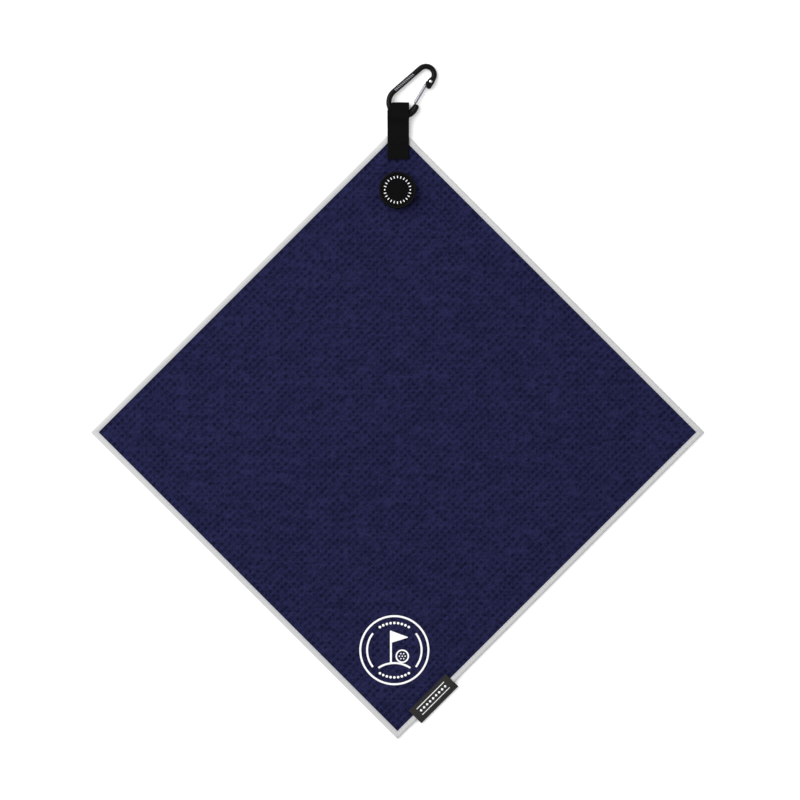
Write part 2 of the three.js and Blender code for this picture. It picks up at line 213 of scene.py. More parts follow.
def polar(radius, turn):
    """A flat vector from its length and its turn in radians."""
    return Vector((math.cos(turn), math.sin(turn))) * radius


def linked(name, data):
    """A new object in the scene."""
    made = bpy.data.objects.new(name, data)
    bpy.context.scene.collection.objects.link(made)
    return made


def mesh_of(name, part):
    mesh = bpy.data.meshes.new(name)
    mesh.from_pydata([tuple(v) for v in part[0]], [], part[1])
    return mesh


def turn_outwards(mesh, merge=0):
    """Turns all faces outwards, after joining vertices that are closer than `merge`."""
    bm = bmesh.new()
    bm.from_mesh(mesh)
    if merge:
        bmesh.ops.remove_doubles(bm, verts=bm.verts, dist=merge)
        bmesh.ops.dissolve_degenerate(bm, edges=bm.edges, dist=merge)
    bmesh.ops.recalc_face_normals(bm, faces=bm.faces)
    bm.to_mesh(mesh)
    bm.free()


def finish_piece(name, mesh, material, angle=None, merge=1e-6):
    """A smooth-shaded object; past the angle, in degrees, its edges stay sharp."""
    turn_outwards(mesh, merge)
    mesh.shade_smooth()
    if angle is not None:
        mesh.set_sharp_from_angle(angle=math.radians(angle))
    mesh.materials.clear()
    mesh.materials.append(material)
    return linked(name, mesh)


def make_piece(name, part, material, angle=None):
    return finish_piece(name, mesh_of(name, part), material, angle)


def grid_faces(rows, columns, wrap_rows=False, wrap_columns=False):
    """Quads over a grid of vertices that are numbered row by row."""
    faces = []
    for i in range(rows if wrap_rows else rows - 1):
        for j in range(columns if wrap_columns else columns - 1):
            corners = ((i, j), (i, j + 1), (i + 1, j + 1), (i + 1, j))
            faces.append(tuple(row % rows * columns + column % columns for row, column in corners))
    return faces


def stack_faces(rows, count):
    """The sides and both ends of a stack of closed outlines with `count` points each."""
    last = (rows - 1) * count
    ends = [tuple(range(count))[::-1], tuple(range(last, last + count))]
    return grid_faces(rows, count, wrap_columns=True) + ends


def sheet_faces(rows, section):
    """A stack of thin outlines, each of which runs along a sheet and back; ladders close it."""
    faces = grid_faces(rows, section, wrap_columns=True)
    for start in (0, (rows - 1) * section):
        for k in range(section // 2 - 1):
            rung = (k, k + 1, section - 2 - k, section - 1 - k)
            faces.append(tuple(start + n for n in rung))
    return faces


def band(first, second):
    """Quads between two closed loops of vertices that run the same way."""
    return list(zip(first, first[1:] + first[:1], second[1:] + second[:1], second))


def tube(stations, radii, sides):
    """A closed tube of varying radius along a list of points, with flat ends."""
    points = [Vector(p) for p in stations]
    vertices, normal = [], None
    for i, point in enumerate(points):
        ahead = points[min(i + 1, len(points) - 1)] - points[max(i - 1, 0)]
        ahead.normalize()
        if normal is None:
            normal = ahead.orthogonal().normalized()
        normal = (normal - ahead * normal.dot(ahead)).normalized()
        across = ahead.cross(normal)
        for k in range(sides):
            x, y = polar(radii[i], 2 * math.pi * k / sides)
            vertices.append(point + normal * x + across * y)
    return vertices, stack_faces(len(points), sides)


def lathe(profile, segments):
    """A solid of revolution about Z from (radius, height) points, on the axis at both ends."""
    turns = [2 * math.pi * k / segments for k in range(segments)]
    vertices = [(*polar(radius, turn), height) for radius, height in profile for turn in turns]
    return vertices, grid_faces(len(profile), segments, wrap_columns=True)


def rounded(profile, radius, steps=5):
    """The same (x, y) outline with each inner corner turned into a short curve."""
    result = [profile[0]]
    for before, at, after in zip(profile, profile[1:], profile[2:]):
        at = Vector(at)
        to_before, to_after = Vector(before) - at, Vector(after) - at
        reach = min(radius, to_before.length / 2.1, to_after.length / 2.1)
        start = at + to_before.normalized() * reach
        end = at + to_after.normalized() * reach
        for k in range(steps + 1):
            t = k / steps
            result.append(tuple(start * (1 - t) ** 2 + at * 2 * t * (1 - t) + end * t * t))
    result.append(profile[-1])
    return result


def join(parts):
    """Several parts as one."""
    vertices, faces = [], []
    for part_vertices, part_faces in parts:
        start = len(vertices)
        vertices.extend(part_vertices)
        faces.extend(tuple(start + k for k in face) for face in part_faces)
    return vertices, faces


def moved(part, matrix):
    return [matrix @ Vector(v) for v in part[0]], part[1]


def thread(ends, height, radius=THREAD):
    """One stitch: a short arched thread between two points, sunk at both ends."""
    start, end = Vector(ends[0]), Vector(ends[1])
    stations, radii = [], []
    for t in (0, 0.12, 0.3, 0.5, 0.7, 0.88, 1):
        rise = height * (1 - (2 * t - 1) ** 4) - radius
        stations.append(start.lerp(end, t) + Vector((0, 0, rise)))
        radii.append(radius * (0.55 + 0.45 * math.sin(math.pi * min(max(t, 0.12), 0.88))))
    return tube(stations, radii, 6)


def seam(start, end, count, share, level, height, radius=THREAD):
    """Stitches along a straight seam; `level` gives the height they lie at."""
    parts = []
    for k in range(count):
        ends = []
        for t in (k + 0.5 - share / 2, k + 0.5 + share / 2):
            x, y = start.lerp(end, t / count)
            ends.append(Vector((x, y, level(x, y))))
        parts.append(thread(ends, height, radius))
    return parts


def evenly(points, pace):
    """Evenly spaced points along a line of (x, y) points, and how far along it each one is."""
    points = np.array(points)
    lengths = np.concatenate([[0], np.cumsum(np.hypot(*np.diff(points, axis=0).T))])
    even = np.linspace(0, lengths[-1], round(lengths[-1] / pace) + 1)
    return np.stack([np.interp(even, lengths, line) for line in points.T], axis=1), even


def normals(route):
    """Unit vectors square to a line of (x, y) points."""
    tangent = np.gradient(route, axis=0)
    tangent /= np.hypot(*tangent.T)[:, None]
    return np.stack([tangent[:, 1], -tangent[:, 0]], axis=1)


def top_of(route, place):
    """Height of the upper run of a folded line of (place, height) points."""
    upper = route[route[:, 0].argmax():][::-1]
    return float(np.interp(place, upper[:, 0], upper[:, 1]))


def store_relief(piece, values):
    attribute = piece.data.attributes.new("relief", "FLOAT", "POINT")
    attribute.data.foreach_set("value", np.asarray(values, np.float32))


# ---- materials ----


def srgb(red, green, blue):
    """A linear RGBA colour from 0 to 255 display values."""
    linear = []
    for value in (red, green, blue):
        c = value / 255
        linear.append(c / 12.92 if c <= 0.04045 else ((c + 0.055) / 1.055) ** 2.4)
    return (*linear, 1)


class Shader:
    """A Principled material whose extra nodes are added one line at a time."""

    def __init__(self, name, roughness, specular=0.5, **values):
        self.material = bpy.data.materials.new(name)
        self.material.use_nodes = True
        self.tree = self.material.node_tree
        self.place = self.tree.nodes.new("ShaderNodeTexCoord").outputs["Object"]
        self.drive(Roughness=roughness, Specular_IOR_Level=specular, **values)

    def feed(self, socket, value):
        """Links another node's output to a socket, or sets the socket's value."""
        if isinstance(value, bpy.types.NodeSocket):
            self.tree.links.new(value, socket)
        else:
            socket.default_value = value

    def drive(self, **sockets):
        """Feeds the Principled node, and returns the material."""
        for name, value in sockets.items():
            self.feed(self.tree.nodes["Principled BSDF"].inputs[name.replace("_", " ")], value)
        return self.material

    def add(self, kind, inputs, **settings):
        node = self.tree.nodes.new("ShaderNode" + kind)
        for key, value in settings.items():
            setattr(node, key, value)
        for key, value in inputs.items():
            self.feed(node.inputs[key], value)
        return node.outputs

    def turned(self, degrees, scale=(1, 1, 1)):
        """Object coordinates turned about Z and scaled."""
        inputs = {"Vector": self.place, "Rotation": (0, 0, math.radians(degrees)), "Scale": scale}
        return self.add("Mapping", inputs)["Vector"]

    def noise(self, scale, detail=3, roughness=0.55, vector=None):
        inputs = {"Vector": vector or self.place, "Scale": scale}
        inputs |= {"Detail": detail, "Roughness": roughness}
        return self.add("TexNoise", inputs)["Fac"]

    def wave(self, scale, distortion, detail, degrees, direction):
        inputs = {"Vector": self.turned(degrees), "Scale": scale}
        inputs |= {"Distortion": distortion, "Detail": detail, "Detail Scale": 2}
        return self.add("TexWave", inputs, bands_direction=direction, wave_profile="SIN")["Fac"]

    def math(self, operation, a, b):
        return self.add("Math", {0: a, 1: b}, operation=operation)["Value"]

    def spread(self, value, low, high):
        """A 0 to 1 value mapped to low to high."""
        return self.add("MapRange", {"Value": value, "To Min": low, "To Max": high})["Result"]

    def between(self, factor, first, second):
        """Two colours mixed: each is a node's output, or red, green and blue up to 255."""
        first, second = (srgb(*c) if isinstance(c, tuple) else c for c in (first, second))
        # The Mix node's colour inputs are its sockets 6 and 7, and its colour result is 2.
        return self.add("Mix", {0: factor, 6: first, 7: second}, data_type="RGBA")[2]

    def relief(self):
        """The relief that was stored on the mesh, from 0 to 1."""
        return self.add("Attribute", {}, attribute_name="relief")["Fac"]

    def finish(self, colour, *bumps, **sockets):
        """The material, with a colour and (height, distance, strength) bumps, finest first."""
        for height, distance, strength in bumps:
            inputs = {"Height": height, "Distance": distance, "Strength": strength}
            if "Normal" in sockets:
                inputs["Normal"] = sockets["Normal"]
            sockets["Normal"] = self.add("Bump", inputs)["Normal"]
        return self.drive(Base_Color=colour, **sockets)


def waffle_material():
    s = Shader("waffle_cloth", 0.92, 0.06, Sheen_Weight=0.06, Sheen_Roughness=0.6,
               Sheen_Tint=srgb(90, 90, 170))
    fibre = s.noise(2600, 4, 0.7)
    tuft = s.noise(700, 3, 0.7)
    streak = s.noise(240, 3, 0.6, s.turned(-45, (0.3, 1.6, 1)))
    blotch = s.noise(45, 3, 0.6)
    warp, weft = (s.wave(1500, 2.5, 2, -45, direction) for direction in "XY")
    yarn = s.math("MAXIMUM", warp, weft)
    # Painted shade: the stored relief makes the pits darker and the ridges lighter.
    tone = s.math("MULTIPLY", s.math("POWER", s.relief(), 0.6), 0.6)
    for value, share in ((fibre, 0.6), (tuft, 1.9), (streak, 0.9), (blotch, 0.3), (yarn, 0.2)):
        tone = s.math("ADD", tone, s.spread(value, -share / 2, share / 2))
    colour = s.between(s.spread(tone, 0, 1), (19, 20, 47), (46, 47, 90))
    return s.finish(colour, (fibre, 0.00012, 0.7), (yarn, 0.00016, 0.8))


def tape_material():
    s = Shader("binding_tape", 0.8, 0.25, Sheen_Weight=0.2)
    fine = s.noise(3000, 3, 0.6)
    soil = s.noise(30, 4, 0.65)
    weave = s.math("MULTIPLY", *(s.wave(900, 1.5, 2, -45, direction) for direction in "XY"))
    tone = s.math("ADD", s.spread(fine, -0.25, 0.25), s.spread(soil, 0.2, 0.8))
    colour = s.between(tone, (190, 190, 191), (209, 209, 210))
    colour = s.between(s.spread(weave, 0, 0.25), colour, (166, 166, 169))
    return s.finish(colour, (fine, 0.00004, 0.5), (weave, 0.0001, 0.7))


def thread_material(name, dark, light, specular):
    s = Shader(name, 0.6, specular)
    twist = s.wave(2600, 1.0, 1, 20, "DIAGONAL")
    return s.finish(s.between(twist, dark, light), (twist, 0.00006, 0.8))


def webbing_material():
    s = Shader("black_webbing", 0.8, 0.035)
    filament = s.noise(2400, 3, 0.65, s.turned(0, (1, 0.25, 1)))
    dust = s.math("MULTIPLY", s.noise(140, 4, 0.6), s.spread(filament, 0, 0.5))
    # Painted shade: the low parts of the weave are drawn darker.
    colour = s.between(s.relief(), (7, 7, 7), (14, 14, 14))
    colour = s.between(dust, colour, (20, 20, 22))
    return s.finish(colour, (filament, 0.00008, 0.8), Roughness=s.spread(filament, 0.66, 0.88))


def label_material():
    s = Shader("label_weave", 0.6, 0.12)
    satin = s.math("MULTIPLY", s.wave(1300, 0.6, 1, -45, "X"), 0.6)
    cross = s.math("MULTIPLY", s.wave(2000, 0.8, 1, -45, "Y"), 0.4)
    weave = s.math("ADD", satin, cross)
    colour = s.between(weave, (36, 36, 34), (52, 52, 49))
    colour = s.between(s.spread(s.noise(220, 3, 0.6), 0, 0.35), colour, (34, 34, 33))
    return s.finish(colour, (weave, 0.00006, 0.8))


def rubber_material():
    s = Shader("patch_rubber", 0.55, 0.035)
    grain = s.noise(3200, 2, 0.5)
    smear = s.noise(120, 4, 0.65)
    # The top of the raised rim is drawn lighter, speckled by the grain.
    rim_top_lighter = s.math("MULTIPLY", s.relief(), s.spread(grain, 0.2, 0.9))
    colour = s.between(rim_top_lighter, s.between(smear, (5, 5, 5), (10, 10, 11)), (30, 30, 32))
    return s.finish(colour, (grain, 0.00004, 0.7), Roughness=s.spread(smear, 0.5, 0.75))


def grained(name, dark, light, tone, grain, relief, most=1, **values):
    """Two colours mixed by one noise, up to a most, under the fine relief of another."""
    s = Shader(name, **values)
    colour = s.between(s.spread(s.noise(*tone), 0, most), dark, light)
    return s.finish(colour, (s.noise(*grain), *relief))


def pile(name, dark, light):
    strand = (2600, 3, 0.6)
    return grained(name, dark, light, strand, strand, (0.00008, 0.7), roughness=0.85,
                   Sheen_Weight=0.3)


def plated(name, dark, light, roughness):
    """Plated metal with fine turning marks."""
    s = Shader(name, roughness, Metallic=1.0)
    marks = s.noise(900, 4, 0.7, s.turned(0, (1, 0.06, 1)))
    rough = s.spread(marks, roughness * 0.75, roughness * 1.35)
    return s.finish(s.between(marks, dark, light), (marks, 0.00002, 0.4), Roughness=rough)


def anodised_material():
    s = Shader("hook_anodised", 0.38, 0.14, Metallic=0.7)
    blast = s.noise(4200, 2, 0.5)
    handled = s.noise(180, 5, 0.65)
    scratch = s.math("GREATER_THAN", s.noise(900, 2, 0.4, s.turned(40, (1, 0.05, 1))), 0.73)
    colour = s.between(handled, (15, 15, 16), (26, 26, 27))
    colour = s.between(s.math("MULTIPLY", scratch, 0.5), colour, (62, 62, 66))
    return s.finish(colour, (blast, 0.00002, 0.5), Roughness=s.spread(handled, 0.3, 0.48))


waffle = waffle_material()
tape = tape_material()
tape_thread = thread_material("binding_thread", (150, 150, 155), (188, 188, 192), 0.3)
black_thread = thread_material("black_thread", (8, 8, 9), (22, 22, 24), 0.08)
webbing = webbing_material()
label_cloth = label_material()
ink = grained("white_print", (250, 250, 251), (228, 228, 233), (420, 5, 0.7), (1800, 3, 0.6),
              (0.00004, 0.6), most=0.5, roughness=0.6, specular=0.35)
rubber = rubber_material()
loop_pile = pile("loop_fabric", (20, 20, 23), (44, 44, 48))
hook_pile = pile("hook_fabric", (16, 16, 17), (34, 34, 36))
moulded = grained("patch_plastic", (20, 20, 22), (30, 30, 32), (90, 3), (2600, 2, 0.5),
                  (0.00003, 0.5), roughness=0.5)
keeper_steel = plated("keeper_steel", (140, 142, 146), (176, 178, 182), 0.34)
magnet_plating = plated("magnet_plating", (176, 178, 182), (206, 208, 212), 0.2)
anodised = anodised_material()
# Bare metal where the hook's colour has been burnt away.
etched = grained("etched_marks", (112, 112, 120), (168, 168, 178), (2600, 3, 0.6), (2600, 3, 0.6),
                 (0.00002, 0.5), roughness=0.5, specular=0.2)
gate_metal = plated("gate_metal", (112, 113, 119), (150, 151, 158), 0.17)
rivet_metal = plated("rivet_metal", (214, 215, 218), (238, 238, 240), 0.2)
spring_metal = plated("spring_wire", (150, 152, 156), (186, 188, 192), 0.25)

# ---- cloth ----

# Height of each kind of ridge point, from 0 in a pit to 1 on the highest ridge.
CROSSING, STRONG_RIDGE, WEAK_RIDGE, PIT_WALL = 1.0, 0.94, 0.66, 0.12
RIDGE_UNEVEN = (0.045, 0.045, 0.05)  # in cells both ways, and in height
# How far a pit's floor reaches from the cell's middle, in cells, and how uneven the pits are.
PIT_HALF_U, PIT_HALF_V, PIT_BULGE = 0.19, 0.13, 0.035
PIT_SHIFT, PIT_DEPTH_UNEVEN, PIT_SHADE_UNEVEN = 0.035, 0.09, 0.34


class Waffle:
    """One face of the waffle weave: ridges round square pits, cell by cell."""

    def __init__(self, high, depth, fine):
        self.high, self.depth, self.fine = high, depth, fine
        self.points, self.faces, self.shade, self.numbers = [], [], [], {}
        self.lay_ridges()
        self.sink_pits()

    def add(self, i, j, height, shade):
        """A vertex at (i, j), counted in cells from the towel's lower left edges."""
        self.points.append((i, j, height))
        # Its colour value is painted shade: the height itself, plus a random tone.
        self.shade.append(height + shade)
        return len(self.points) - 1

    def lay_ridges(self):
        top = 2 * cells
        jitter = rng.normal(0, 1, (top + 1, top + 1, 3)) * RIDGE_UNEVEN
        for a in range(top + 1):
            for b in range(top + 1):
                mid_u, mid_v = a % 2 == 1, b % 2 == 1
                if (mid_u and mid_v) or (not self.fine and (mid_u or mid_v)):
                    continue
                height = STRONG_RIDGE if mid_u else WEAK_RIDGE if mid_v else CROSSING
                inside = 0 < a < top and 0 < b < top
                du, dv, dz = jitter[a, b] if inside else (0, 0, 0)
                # Painted shade: a ridge point raised by its jitter is also drawn lighter.
                self.numbers[a, b] = self.add(a / 2 + du, b / 2 + dv, height + dz, 3 * dz)

    def sink_pits(self):
        u, v, out = PIT_HALF_U, PIT_HALF_V, PIT_BULGE
        outline = [(-u, -v), (0, -v - out), (u, -v), (u + out, 0)]
        outline += [(-x, -y) for x, y in outline]
        walls = [PIT_WALL, 0] * 4
        step = 1 if self.fine else 2
        for i in range(cells):
            for j in range(cells):
                middle = np.array((i + 0.5, j + 0.5)) + rng.normal(0, PIT_SHIFT, 2)
                floor = rng.normal(0, PIT_DEPTH_UNEVEN)
                shade = rng.normal(0, PIT_SHADE_UNEVEN)
                pit = [
                    self.add(middle[0] + x, middle[1] + y, wall + floor, shade)
                    for (x, y), wall in zip(outline[::step], walls[::step])
                ]
                self.faces += band(self.around(i, j), pit)
                self.faces.append(tuple(pit))

    def around(self, i, j):
        """The ridge vertices round a cell."""
        steps = [(0, 0), (1, 0), (2, 0), (2, 1), (2, 2), (1, 2), (0, 2), (0, 1)]
        steps = steps if self.fine else steps[::2]
        return [self.numbers[2 * i + a, 2 * j + b] for a, b in steps]

    def border(self):
        """The vertices along the four sides, in order."""
        top = 2 * cells
        run = range(0, top, 1 if self.fine else 2)
        steps = [(a, 0) for a in run] + [(top, a) for a in run]
        steps += [(top - a, top) for a in run] + [(0, top - a) for a in run]
        return [self.numbers[key] for key in steps]

    def placed(self):
        """World positions, with the cloth thinned towards the binding."""
        i, j, height = np.array(self.points).T
        u, v = i * pitch - visible, j * pitch - visible
        x, y = to_world(u, v)
        from_edge = visible - np.maximum(np.abs(u), np.abs(v))
        full = 0.5 + 0.5 * smoothstep(from_edge / PINCH_WIDTH)
        z = self.high - self.depth * (1 - height)
        z = PINCHED_MIDDLE + (z - PINCHED_MIDDLE) * full
        return np.stack([x, y, z + lift(x, y)], axis=1)


def make_cloth():
    """The towel's cloth: both waffle faces, joined round a plain edge inside the binding."""
    front = Waffle(FRONT_HIGH, FRONT_DEPTH, fine=True)
    back = Waffle(BACK_LOW, -BACK_DEPTH, fine=False)
    underside = (back.placed(), [face[::-1] for face in back.faces])
    points, faces = join([(front.placed(), front.faces), underside])
    # Painted shade for each vertex, from its height on both faces.
    relief = front.shade + back.shade
    edges = []
    for face, start, side in ((front, 0, 1), (back, len(front.points), -1)):
        border = [start + k for k in face.border()]
        edge = list(range(len(points), len(points) + len(border)))
        for k in border:
            x, y = points[k][:2] * (cloth_edge / visible)
            points.append((x, y, PINCHED_MIDDLE + side * PINCHED_HALF + float(lift(x, y))))
        relief += [0.5] * len(border)
        faces += band(border, edge)
        edges.append(edge)
    upper, lower = edges
    for k, under in enumerate(lower):
        after = (k + 1) % len(lower)
        above = (upper[2 * k], upper[2 * k + 1], upper[2 * after])
        faces.append((lower[after], under, *above))
    cloth = make_piece("towel_waffle_cloth", (points, faces), waffle)
    store_relief(cloth, np.clip(relief, 0, 1))
    return cloth


# ---- binding ----

STITCH_FROM_EDGE = BINDING_WIDTH - 0.75 * MM
STITCH_HEIGHT = 2.12 * MM
STITCH_PACE = 2.6 * MM
STITCH_LENGTH = 1.75 * MM
CORNER_ROUND = 0.9 * MM
RIB_RISE = 0.035 * MM
FACE_REACH = 0.7 * MM  # past this distance from its middle height the tape is a flat face
MITRE_SUNK = 0.1 * MM


def tape_profile():
    """The folded tape's section: (distance in from the towel's edge, height, rib share)."""
    width, thick, tape_mm = BINDING_WIDTH / MM, BINDING_HEIGHT / MM, TAPE / MM
    lip = 2.02
    top = [
        (width, lip, 0), (width - 0.1, 2.2, 0), (width - 0.3, 2.27, 0.4), (width - 0.5, 2.2, 1),
        (STITCH_FROM_EDGE / MM, 2.1, 1), (width - 1.05, 2.22, 1), (width - 1.6, 2.36, 1),
        (width - 2.4, thick, 1), (1.0, 2.32, 1), (0.45, 2.12, 1), (0.12, 1.7, 1),
    ]
    bottom = [(x, thick - z, share) for x, z, share in reversed(top)]
    inside = [(width, thick - lip + 0.3, 0), (width - 1.2, 0.5, 0), (tape_mm + 0.2, 0.55, 0)]
    inside += [(tape_mm, thick / 2, 0)] + [(x, thick - z, 0) for x, z, _ in reversed(inside)]
    profile = [*top, (0, thick / 2, 1), *bottom, *inside]
    return [(x * MM, z * MM, share) for x, z, share in profile]


def side_turn(side):
    """From the +X side to each of the towel's four sides, which lie at 45 degrees."""
    return Matrix.Rotation(math.radians(45 + 90 * side), 2)


def round_corner(out, along):
    """Draws a point that is past both sides' straight lengths into the towel's round corner."""
    straight = half_side - CORNER_ROUND
    past_out, past_along = out - straight, abs(along) - straight
    if past_out <= 0 or past_along <= 0:
        return out, along
    shrink = max(past_out, past_along) / math.hypot(past_out, past_along)
    return straight + past_out * shrink, math.copysign(straight + past_along * shrink, along)


def make_binding():
    """The tape is swept along the four sides, mitred at the corners, with its ribs raised."""
    profile = tape_profile()
    stations = round(2 * half_side / (RIB / 2))
    along = np.linspace(-half_side, half_side, stations + 1)[:-1]
    points = []
    for side in range(4):
        turn = side_turn(side)
        for number, a in enumerate(along):
            rib = RIB_RISE if number % 2 else -RIB_RISE
            for inward, z, share in profile:
                limit = half_side - inward
                mitred = abs(a) >= limit
                above = z - BINDING_HEIGHT / 2
                facing = 1 if above > 0 else -1
                sideways = 0.4 if abs(above) > FACE_REACH else 1
                out = limit + (0 if mitred else rib * share * sideways)
                flat = turn @ Vector(round_corner(out, min(max(a, -limit), limit)))
                rise = rib * share - (MITRE_SUNK if mitred and share else 0)
                height = z + facing * rise + float(lift(flat.x, flat.y))
                points.append((flat.x, flat.y, height))
    faces = grid_faces(4 * stations, len(profile), wrap_rows=True, wrap_columns=True)
    return make_piece("edge_binding_tape", (points, faces), tape)


def make_binding_stitches():
    """A row of stitches along the tape's inner edge, on the front."""
    limit = half_side - STITCH_FROM_EDGE
    count = int(2 * limit / STITCH_PACE)
    first = -count * STITCH_PACE / 2
    parts = []
    for side in range(4):
        turn = side_turn(side)
        for k in range(count):
            start = first + (k + 0.5) * STITCH_PACE - STITCH_LENGTH / 2
            ends = []
            for a in (start, start + STITCH_LENGTH):
                x, y = turn @ Vector((limit + rng.normal(0, 0.03 * MM), a))
                ends.append(Vector((x, y, STITCH_HEIGHT + float(lift(x, y)))))
            if not hidden(ends[0]):
                parts.append(thread(ends, 0.22 * MM))
    return make_piece("binding_stitches", join(parts), tape_thread)


def hidden(point):
    """Whether a point of the binding is under the strap or the label."""
    room = 0.5 * MM
    under_strap = strap_left - room < point.x < strap_right + room and point.y > back_low.y
    offset = point.to_2d() - label_centre
    beside_label = abs(offset.dot(label_edgewise)) < LABEL_LENGTH / 2 + room
    return under_strap or (beside_label and offset.dot(label_outward) > -LABEL_WIDTH)


# ---- strap ----

WEBBING_COLUMNS = 41
WEAVE_COLUMNS = 4  # how many columns one ridge of the weave takes
WEAVE_PACE = 1.8 * MM
WEAVE_RISE = 0.05 * MM
LEG_STITCH_PACE = 2.5 * MM


def strap_route():
    """The webbing's centre line: evenly spaced (y, z) points, and how far along each one is."""
    turn = loop_high.z / 2
    centre_y = loop_high.y - turn
    radius = turn - WEBBING / 2
    top = loop_high.z - WEBBING / 2
    ramp_start = loop_low.y + 3.6 * MM
    settle_start = ramp_start - STRAP_RAMP - 11 * MM
    on_binding = front_low.z + WEBBING / 2 - 0.05 * MM
    on_waffle = on_binding - 0.62 * MM
    step = 0.25 * MM
    route = [(y, WEBBING / 2) for y in np.arange(back_low.y, centre_y, step)]
    for angle in np.arange(-90, 90, 4):
        y, z = polar(radius, math.radians(angle))
        route.append((centre_y + y, turn + z))
    for y in np.arange(centre_y, front_low.y, -step):
        down = smoothstep((ramp_start - y) / STRAP_RAMP)
        settle = smoothstep((settle_start - y) / (6 * MM))
        route.append((y, top + (on_binding - top) * down + (on_waffle - on_binding) * settle))
    route.append((front_low.y - 0.35 * MM, on_waffle))
    return evenly(route, 0.45 * MM)


def strap_edge(y):
    """The left edge, pushed in by the hook's bar near the fold."""
    start = loop_high.y - STRAP_SLANT
    return strap_left + STRAP_PUSHED_IN * np.clip((y - start) / STRAP_SLANT, 0, 1) ** 1.2


def make_strap():
    """Webbing along its route, with its weave raised, thin selvages and ragged cut ends."""
    route, along = strap_route()
    normal = normals(route)
    spaces = WEBBING_COLUMNS - 1
    across = np.linspace(0, 1, WEBBING_COLUMNS)
    rim = np.minimum(across, 1 - across) * spaces
    half = WEBBING / 2 * np.select([rim < 0.5, rim < 1.5], [0.45, 0.86], 1.0)
    ridges = np.cos(2 * np.pi * across * spaces / WEAVE_COLUMNS)
    stagger = np.pi * (np.floor(across * spaces * 2 / WEAVE_COLUMNS) % 2)
    ragged = dict(zip((0, len(route) - 1), rng.normal(0, 0.22 * MM, (2, WEBBING_COLUMNS))))
    points, relief = [], []
    for n, (y, z) in enumerate(route):
        left = strap_edge(y)
        wander = 0.08 * MM * math.sin(along[n] / (9 * MM))
        x = left + across * (strap_right - left) + wander * (1 - 2 * across)
        pattern = 0.5 + 0.5 * ridges * np.cos(2 * np.pi * along[n] / WEAVE_PACE + stagger)
        for face in (1, -1):
            offset = face * (half + WEAVE_RISE * (pattern - 0.5) * (rim > 0.5))
            py = y + normal[n, 0] * offset + ragged.get(n, 0)
            points.extend(np.stack([x, py, z + normal[n, 1] * offset], axis=1)[::face])
            # The weave's height, kept for the painted shade of its low parts.
            relief.extend(pattern[::face])
    part = (points, sheet_faces(len(route), 2 * WEBBING_COLUMNS))
    piece = make_piece("strap_webbing", part, webbing)
    store_relief(piece, relief)
    return piece


def make_strap_stitches():
    """A box with a cross in it, sewn through both legs."""
    low = Vector((strap_left + 2.0 * MM, front_low.y + 2.4 * MM))
    high = Vector((strap_right - 2.0 * MM, corner - 6.5 * MM))
    corners = [low, Vector((high.x, low.y)), high, Vector((low.x, high.y))]
    route, _ = strap_route()

    def on_leg(x, y):
        return top_of(route, y) + WEBBING / 2 + 0.02 * MM

    parts = []
    for first, last in ((0, 1), (1, 2), (2, 3), (3, 0), (0, 2), (1, 3)):
        start, end = corners[first], corners[last]
        count = round((end - start).length / LEG_STITCH_PACE)
        parts += seam(start, end, count, 0.72, on_leg, 0.2 * MM)
    return make_piece("strap_stitches", join(parts), black_thread)


# ---- label ----

LABEL_ROWS = 70


def make_label_route():
    """The label's centre line: evenly spaced (outward from the towel's edge, height) points."""
    low = LABEL_THICKNESS / 2
    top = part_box("edge_label")[1].z - LABEL_THICKNESS / 2
    out = LABEL_OVERHANG - LABEL_THICKNESS / 2
    line = [
        (label_inner, low), (out - 0.9 * MM, low), (out, 1.0 * MM), (out - 0.2 * MM, 1.9 * MM),
        (0.6 * MM, top), (label_inner + 1.5 * MM, top), (label_inner, top - 0.12 * MM),
    ]
    return evenly(rounded(line, 1.6 * MM, 8), 0.382 * MM)[0]


label_route = make_label_route()


def label_top(outward):
    """Height of the label's front face."""
    return top_of(label_route, outward) + LABEL_THICKNESS / 2


def make_label():
    """The folded label: its front ripples a little, and its cut ends are thin and frayed."""
    normal = normals(label_route)
    count = len(label_route)
    points = []
    for k, y in enumerate(np.linspace(-LABEL_LENGTH / 2, LABEL_LENGTH / 2, LABEL_ROWS)):
        at_end = k in (0, LABEL_ROWS - 1)
        half = LABEL_THICKNESS / 2 * (0.6 if at_end else 1)
        ripple = 0.05 * MM * math.sin(y / (5.2 * MM)) + 0.03 * MM * math.sin(y / (2.1 * MM) + 1)
        rise = np.where(label_route[:, 1] > 2 * MM, ripple, 0)
        for face in (1, -1):
            out, height = (label_route + normal * half * face).T
            fray = rng.normal(0, 0.05 * MM, count) if at_end else np.zeros(count)
            points.extend(np.stack([out, y + fray, height + rise], 1)[::face])
    part = moved((points, sheet_faces(LABEL_ROWS, 2 * count)), label_place)
    return make_piece("edge_label_woven", part, label_cloth)


def label_mark(x, y, size_x, size_y, turn=0.0):
    """A small raised woven bar on the label's front face, in millimetres."""
    points = []
    for inset, rise in ((0, -0.05), (0, 0.05), (0.07, 0.09)):
        for sx, sy in ((-1, -1), (1, -1), (1, 1), (-1, 1)):
            shape = Vector((sx * (size_x / 2 - inset), sy * (size_y / 2 - inset)))
            px, py = (Vector((x, y)) + Matrix.Rotation(turn, 2) @ shape) * MM
            points.append((px, py, label_top(px) + rise * MM))
    return points, stack_faces(3, 4)


